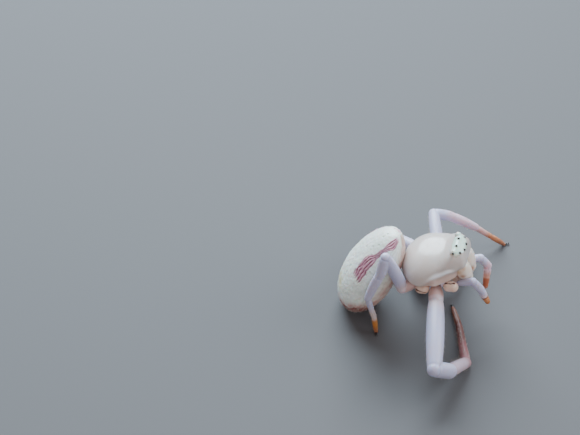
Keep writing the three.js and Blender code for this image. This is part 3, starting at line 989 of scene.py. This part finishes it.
class SPIDER_OT_legs(bpy.types.Operator):
    """Adds one skin for each leg, from coxa to foot"""
    bl_idname = "crab_spider.legs"
    bl_label = "Legs"

    def execute(self, context):
        for name in LEGS:
            skin, joints, girth = build_leg(name, looks().voxel)
            paint = limb_finish("Skin of " + name, LEG_STAGES.get(name, HIDDEN_STAGES))
            paint.over("#e3cdcd", paint.ramp(paint.value("along"), 1.3, 1.06), 0.7)
            paint.over("#cfa293", paint.ramp(paint.value("along"), 1.05, 0.9), 0.6)
            # a brown notch inside each of the two knees
            for i, size in ((2, 0.07), (4, 0.06)):
                before, after = joints[i - 1] - joints[i], joints[i + 1] - joints[i]
                bend = before.normalized() + after.normalized()
                notch = joints[i] + bend.normalized() * girth[i - 1][2] * 0.98
                paint.over("#8a5a3a", paint.near(notch, size, size * 0.8), 0.75)
            nodes = [f"{name}_{part}" for part in ("coxa", "femur", "tibia", "tarsus")]
            settle(skin, "limb", paint.done(), *nodes)
        return {"FINISHED"}


def sternum(f, angle):
    """The plate under the head part, flat above and rounded below."""
    t = -math.cos(math.pi * f)
    full = math.sqrt(max(1 - t * t, 0))
    side, rise = -math.cos(angle), math.sin(angle)
    up = -0.2 - 0.1 * (1 - full)
    if rise < 0:
        up -= 0.85 * full * math.sqrt(max(1 - side * side, 0))
    forward = STERNUM_MIDDLE + STERNUM_HALF_LENGTH * t
    return raised(forward, side * STERNUM_HALF_WIDTH * full, up)


class SPIDER_OT_underside(bpy.types.Operator):
    """Adds the sternum, mouth plates, stalk and the two stumps as one skin"""
    bl_idname = "crab_spider.underside"
    bl_label = "Underside"

    def execute(self, context):
        bm = bmesh.new()
        add_ball(bm, 60, 72, sternum)
        # the two mouth plates, the lip between them and the stalk of the abdomen
        for sign in (1, -1):
            add_lobe(bm, raised(0.95, sign * 0.3, -0.62), raised(1.42, sign * 0.24, -0.78),
                     (0.24, 0.26, 0.17))
        add_lobe(bm, raised(0.9, 0, -0.75), raised(1.25, 0, -0.85), (0.2, 0.2, 0.15))
        add_lobe(bm, raised(-1.3, 0, -0.44), raised(-2.25, -0.02, -0.34), (0.26, 0.25, 0.27))
        # each stump is a bulb drawn out along the body, and its scar has two wider spots
        scars, blobs = [], []
        for root, (x, y, z), radii, spread, widest, *scar in STUMPS.values():
            add_lobe(bm, raised(*root), raised(x, y, z), radii)
            bulb = radii[2]
            add_lobe(bm, raised(x - spread, y, z), raised(x + spread, y, z), (bulb, bulb, bulb))
            points = [raised(*place) for place in scar]
            scars += zip(points, points[1:])
            blobs += [(points[0], 0.02), (points[widest], 0.04)]
        obj = fuse(new_object("underside_skin", bm), 0.024, 3)

        def scar_depth(p):
            away = min(to_segment(p, *scar) for scar in scars)
            away = min([away] + [(p - end).length - wide for end, wide in blobs])
            return 1 - smoothstep(away + 0.02 * noise.noise(p * 8), 0.012, 0.058)
        mark(obj, scar=scar_depth)
        dent(obj, lambda p: 0.03 * scar_depth(p))
        paint = Finish("Underside", hexed(looks().flesh), 0.34, flesh=0.6, coat=0.25)
        paint.over("#d5ab93", paint.mottle.outputs["Mask"], 0.3)
        paint.over("#b97a62", paint.ramp(paint.value("scar"), 0.05, 0.5), 0.6)
        paint.over("#42130a", paint.ramp(paint.value("scar"), 0.4, 0.75), 0.95)
        paint.bumps(0.1)
        settle(obj, "flesh", paint.done(), "sternum", "pedicel", *STUMPS)
        return {"FINISHED"}


# Brown spots on a jaw: how far forward, to its side and up, how wide, and the colour
JAW_SPOTS = (((1.84, 0.93, 0.8), 0.15, "#c48a4c"), ((1.5, 0.97, 0.55), 0.2, "#d3ad84"),
             ((1.7, 0.9, 0.22), 0.14, "#b07a4c"), ((1.95, 0.65, -0.05), 0.1, "#a8714a"),
             ((1.95, 0.1, -0.2), 0.16, "#b8723a"))


def build_jaw(side, sign):
    """Adds a jaw, from the block under the carapace to its fang."""
    bm = bmesh.new()
    add_lobe(bm, raised(1.56, sign * 0.5, 0.55), raised(1.78, sign * 0.42, -0.28),
             (0.46, 0.46, 0.35))
    add_lobe(bm, raised(1.76, sign * 0.42, -0.2), raised(1.78, sign * 0.35, -0.66),
             (0.37, 0.35, 0.2))
    add_lobe(bm, raised(1.78, sign * 0.32, -0.8), raised(1.7, sign * 0.12, -0.86),
             (0.07, 0.06, 0.02), rings=14, sides=14)
    jaw = fuse(new_object(f"chelicera_{side}_skin", bm), 0.03, 3)
    paint = Finish(f"Jaw {side}", "#efe4da", 0.26, flesh=0.6, coat=0.45)
    paint.over("#d9c0a0", paint.mottle.outputs["Mask"], 0.2)
    for (x, left, up), size, colour in JAW_SPOTS:
        paint.over(colour, paint.near(raised(x, sign * left, up), size, size * 0.8), 0.75)
    paint.bumps(0.08)
    settle(jaw, "shell", paint.done(), f"chelicera_{side}")


def build_palp(side):
    """Adds a feeler."""
    joints, girth = palp_limb(side)
    bm = bmesh.new()
    for i, grooves in enumerate(((), ((0.12, 0.03),), ((0.14, 0.03), (0.62, 0.03)))):
        add_lobe(bm, joints[i], joints[i + 1], girth[i], grooves=grooves)
    palp = fuse(new_object(f"palp_{side}_skin", bm), 0.024, 2)
    mark(palp, along=limb_measure(joints, girth))
    paint = limb_finish(f"Feeler {side}", PALP_STAGES[side])
    settle(palp, "limb", paint.done(), f"palp_{side}_root", f"palp_{side}_tip")


class SPIDER_OT_mouth(bpy.types.Operator):
    """Adds the two jaws and the two feelers"""
    bl_idname = "crab_spider.mouth"
    bl_label = "Jaws and feelers"

    def execute(self, context):
        for side, sign in (("left", 1), ("right", -1)):
            build_jaw(side, sign)
        for side in PALPS:
            build_palp(side)
        return {"FINISHED"}


class SPIDER_OT_spinnerets(bpy.types.Operator):
    """Adds the spinnerets under the rear of the abdomen"""
    bl_idname = "crab_spider.spinnerets"
    bl_label = "Spinnerets"

    def execute(self, context):
        along = SPINNERET_STATION * ABDOMEN_REAR
        depth = ABDOMEN_HIGH * math.sqrt(1 - SPINNERET_STATION ** 2)

        def on(x, y, z):
            return ABDOMEN_CENTRE + ABDOMEN_TURN @ Vector((x, along + y, z - depth))
        bm = bmesh.new()
        add_lobe(bm, on(0, 0, 0.05), on(0, 0.02, -0.1), (0.26, 0.25, 0.22))
        for x, y in ((0.11, -0.12), (0.13, 0), (0.11, 0.13)):
            for sign in (1, -1):
                add_lobe(bm, on(sign * x, y, -0.2), on(sign * x * 1.2, y * 1.3 + 0.06, -0.42),
                         (0.08, 0.08, 0.05), rings=14, sides=14)
        obj = fuse(new_object("spinnerets_skin", bm), 0.02, 1)
        paint = Finish("Spinnerets", "#b97a66", 0.4, flesh=0.4)
        paint.over("#8a3f30", paint.mottle.outputs["Mask"], 0.5)
        settle(obj, "flesh", paint.done(), "spinnerets")
        return {"FINISHED"}


class SPIDER_OT_claws(bpy.types.Operator):
    """Adds the two curved claws of each foot"""
    bl_idname = "crab_spider.claws"
    bl_label = "Claws"

    def execute(self, context):
        material = dark_finish()
        for name in LEGS:
            joints = leg_joints(name)
            along = joints[6] - joints[5]
            if name in CLAW_YAW:
                along = heading(CLAW_YAW[name], 0)
            along.z = 0
            along.normalize()
            across = Vector((0, 0, 1)).cross(along)
            palm = joints[6] + along * (LEGS[name][3][5][2] + 0.05)
            palm.z = 0.075
            bm = bmesh.new()
            add_lobe(bm, palm - along * 0.08, palm + along * 0.02, (0.05, 0.055, 0.045), 14, 16)
            for sign in (1, -1):
                knuckle = palm + along * 0.09 + across * (sign * 0.04)
                knuckle.z = 0.1
                tip = palm + along * 0.165 + across * (sign * 0.055)
                tip.z = 0.03
                add_lobe(bm, palm, knuckle, (0.04, 0.035, 0.03), 12, 12)
                add_lobe(bm, knuckle, tip, (0.03, 0.024, 0.012), 12, 12)
            claw = fuse(new_object(name + "_claw_pair", bm), 0.008, 1)
            settle(claw, "dark", material, name + "_claws")
        return {"FINISHED"}


def cover_length(bm, draw, joints, girth, i, row, rows):
    """Adds the bristles of one length of a limb. Each limb has a row of the coat's map."""
    start, axis = joints[i], joints[i + 1] - joints[i]
    length = axis.length
    axis = axis.normalized()
    side, rise = frame_along(axis)
    last = len(girth)
    palp = last == 3
    fore = girth is FORE or girth is FORE_DRAWN_IN

    def grow(t, turn, slope, size, thick, tone):
        out = side * math.cos(turn) + rise * math.sin(turn)
        root = start + axis * (t * length) + out * (between(girth[i], t) - 0.02)
        direction = (out + axis * slope).normalized()
        if (root + direction * size).z > 0.02 and root.z > 0.03:
            patch = ((i + t) / last, (row + turn / (2 * math.pi)) / rows)
            add_bristle(bm, root, direction, size, thick, tone, patch)
    # short bristles all round, shorter and darker towards the foot
    far = (i + 3) / 6 if palp else i / last
    for _ in range(round(looks().bristles * length / 2 * (1.6 if palp else 1))):
        grow(draw.uniform(0.06, 0.97), draw.uniform(0, 2 * math.pi),
             draw.uniform(0.8, 1.7), draw.uniform(0.1, 0.2) * (1.15 - 0.4 * far),
             0.01, draw.uniform(0.2, 0.45) + 0.5 * smoothstep(far, 0.5, 0.9))
    # two rows of spines inside a foreleg's outer lengths, one on each middle length of a hind leg
    if fore and i in (3, 4):
        inner = (joints[1] + joints[2]) / 2 - (joints[i] + joints[i + 1]) / 2
        face = math.atan2(inner.dot(rise), inner.dot(side))
        for step in range(6 if i == 4 else 4):
            for sign in (1, -1):
                grow(0.12 + 0.13 * step + draw.uniform(-0.02, 0.02),
                     face + sign * 0.42, draw.uniform(0.5, 0.8),
                     draw.uniform(0.26, 0.34), 0.017, 0.8)
    if not palp and not fore and i in (1, 2, 3):
        grow(0.9 if i == 2 else 0.5, math.pi / 2, 0.9, 0.3, 0.012, 0.45)


class SPIDER_OT_leg_bristles(bpy.types.Operator):
    """Adds the fine bristles of the legs and feelers, and the spines of the forelegs"""
    bl_idname = "crab_spider.leg_bristles"
    bl_label = "Leg bristles"

    def execute(self, context):
        draw = random.Random(11)
        bm = bristle_mesh()
        limbs = [(leg_joints(name), LEGS[name][3]) for name in LEGS]
        limbs += [palp_limb(side) for side in PALPS]
        for row, (joints, girth) in enumerate(limbs):
            # a leg's coxa is bare
            for i in range(0 if len(girth) == 3 else 1, len(girth)):
                cover_length(bm, draw, joints, girth, i, row, len(limbs))
        coat = new_object("leg_bristles", bm, smooth=False)
        settle(coat, "limb", bristle_finish())
        return {"FINISHED"}


def abdomen_coat(draw):
    """Adds short pale bristles over the abdomen, but not where it is pressed in or near the floor."""
    limbs = leaning_limbs()
    bm = bristle_mesh()
    tailwards = ABDOMEN_TURN @ Vector((0, 1, 0))
    for _ in range(ABDOMEN_BRISTLES):
        f, angle = math.acos(draw.uniform(-0.97, 0.97)) / math.pi, draw.uniform(-math.pi, math.pi)
        egg = egg_place(f, angle)
        root = abdomen_skin(f, angle, limbs)
        if (root - egg).length > 0.08 or root.z < 0.15:
            continue
        local = ABDOMEN_TURN.transposed() @ (egg - ABDOMEN_CENTRE)
        out = ABDOMEN_TURN @ Vector((local.x / ABDOMEN_WIDE ** 2, local.y / ABDOMEN_REAR ** 2,
                                     local.z / ABDOMEN_HIGH ** 2)).normalized()
        direction = (out + tailwards * draw.uniform(0.5, 1.3)).normalized()
        add_bristle(bm, root - out * 0.02, direction, draw.uniform(0.07, 0.13), 0.006,
                    draw.uniform(0.0, 0.25), (angle / (2 * math.pi) + 0.5, f))
    coat = new_object("abdomen_bristles", bm, smooth=False)
    settle(coat, "abdomen", bristle_finish())


def head_coat(draw):
    """Adds a few bristles over the carapace, clear of its lenses, some of them longer in front."""
    bm = bristle_mesh()
    seats = list(eye_seats())
    for _ in range(HEAD_BRISTLES):
        f, angle = draw.uniform(0.25, 0.985), draw.uniform(0.15, math.pi - 0.15)
        root = swell_over(shell_place(f, angle), seats)
        x, left, up = on_head_part(root)
        if above_bead(x, up) < 0.05 or min((root - c).length for c in eye_centres()) < 0.12:
            continue
        out = (root - raised(min(x, 1.0), 0, 0.2)).normalized()
        direction = (out + Vector((0, -1, 0.2)) * draw.uniform(0.3, 1.1)).normalized()
        size = draw.uniform(0.08, 0.14) + (0.08 if x > 1.4 and draw.random() < 0.3 else 0)
        add_bristle(bm, root - out * 0.02, direction, size, 0.006, draw.uniform(0.1, 0.5),
                    (angle / (2 * math.pi) + 0.25, f))
    coat = new_object("head_bristles", bm, smooth=False)
    settle(coat, "shell", bristle_finish())


class SPIDER_OT_body_bristles(bpy.types.Operator):
    """Adds the short bristles of the abdomen and the few on the carapace"""
    bl_idname = "crab_spider.body_bristles"
    bl_label = "Body bristles"

    def execute(self, context):
        draw = random.Random(5)
        abdomen_coat(draw)
        head_coat(draw)
        return {"FINISHED"}


def add_floor():
    bm = bmesh.new()
    bmesh.ops.create_grid(bm, x_segments=1, y_segments=1, size=1.5)
    floor = new_object("floor", bm, smooth=False)
    material = bpy.data.materials.new("Grey floor")
    material.use_nodes = True
    shader = material.node_tree.nodes["Principled BSDF"]
    shader.inputs["Base Color"].default_value = (0.1, 0.1, 0.105, 1)
    shader.inputs["Roughness"].default_value = 0.7
    floor.data.materials.append(material)
    return floor


def add_light(name, towards, distance, size, power, colour):
    """Adds a soft round light that faces the middle of the spider."""
    data = bpy.data.lights.new(name, "AREA")
    data.shape = "DISK"
    data.size = size
    data.energy = power
    data.color = colour
    obj = bpy.data.objects.new(name, data)
    bpy.context.scene.collection.objects.link(obj)
    direction = Vector(towards).normalized()
    target = SHIFT + Vector((0, 0.5, 3)) * MM
    obj.location = target + direction * distance
    obj.rotation_euler = direction.to_track_quat("Z", "Y").to_euler()
    return obj


def light_room():
    """Adds the faint warm light that comes from all round."""
    world = bpy.data.worlds.new("Room")
    world.use_nodes = True
    background = world.node_tree.nodes["Background"]
    background.inputs["Color"].default_value = (1.0, 0.92, 0.9, 1)
    background.inputs["Strength"].default_value = 0.35
    bpy.context.scene.world = world


def add_camera():
    data = bpy.data.cameras.new("Camera")
    data.sensor_width = 36
    data.sensor_fit = "HORIZONTAL"
    data.lens = CAMERA_LENS
    data.clip_start = 0.005
    data.clip_end = 20
    camera = bpy.data.objects.new("Camera", data)
    bpy.context.scene.collection.objects.link(camera)
    axes = [Vector(axis).normalized() for axis in CAMERA_AXES]
    turn = Matrix(axes).transposed().to_4x4()
    camera.matrix_world = Matrix.Translation(TO_ROW @ Vector(CAMERA_PLACE)) @ turn
    bpy.context.scene.camera = camera
    return camera


class SPIDER_OT_stage(bpy.types.Operator):
    """Adds the floor, the soft lights and the camera"""
    bl_idname = "crab_spider.stage"
    bl_label = "Stage"

    def execute(self, context):
        floor = add_floor()
        lights = [add_light(*light) for light in LIGHTS]
        light_room()
        add_camera()
        return {"FINISHED"}


STEPS = (SPIDER_OT_carapace, SPIDER_OT_eyes, SPIDER_OT_abdomen, SPIDER_OT_legs, SPIDER_OT_underside,
         SPIDER_OT_mouth, SPIDER_OT_spinnerets, SPIDER_OT_claws, SPIDER_OT_leg_bristles,
         SPIDER_OT_body_bristles, SPIDER_OT_stage)


class SPIDER_PT_panel(bpy.types.Panel):
    """Lists the pieces in the order they are added"""
    bl_idname = "SPIDER_PT_panel"
    bl_label = "Crab Spider"
    bl_space_type = "VIEW_3D"
    bl_region_type = "UI"
    bl_category = "Crab Spider"

    def draw(self, context):
        for name in CrabSpiderLooks.__annotations__:
            self.layout.prop(context.scene.crab_spider, name)
        for step in STEPS:
            self.layout.operator(step.bl_idname)


def register():
    for cls in (CrabSpiderLooks, *STEPS, SPIDER_PT_panel):
        bpy.utils.register_class(cls)
    bpy.types.Scene.crab_spider = bpy.props.PointerProperty(type=CrabSpiderLooks)


def unregister():
    del bpy.types.Scene.crab_spider
    for cls in reversed((CrabSpiderLooks, *STEPS, SPIDER_PT_panel)):
        bpy.utils.unregister_class(cls)


def main():
    register()
    for step in STEPS:
        area, name = step.bl_idname.split(".")
        getattr(getattr(bpy.ops, area), name)()


if __name__ == "__main__":
    main()
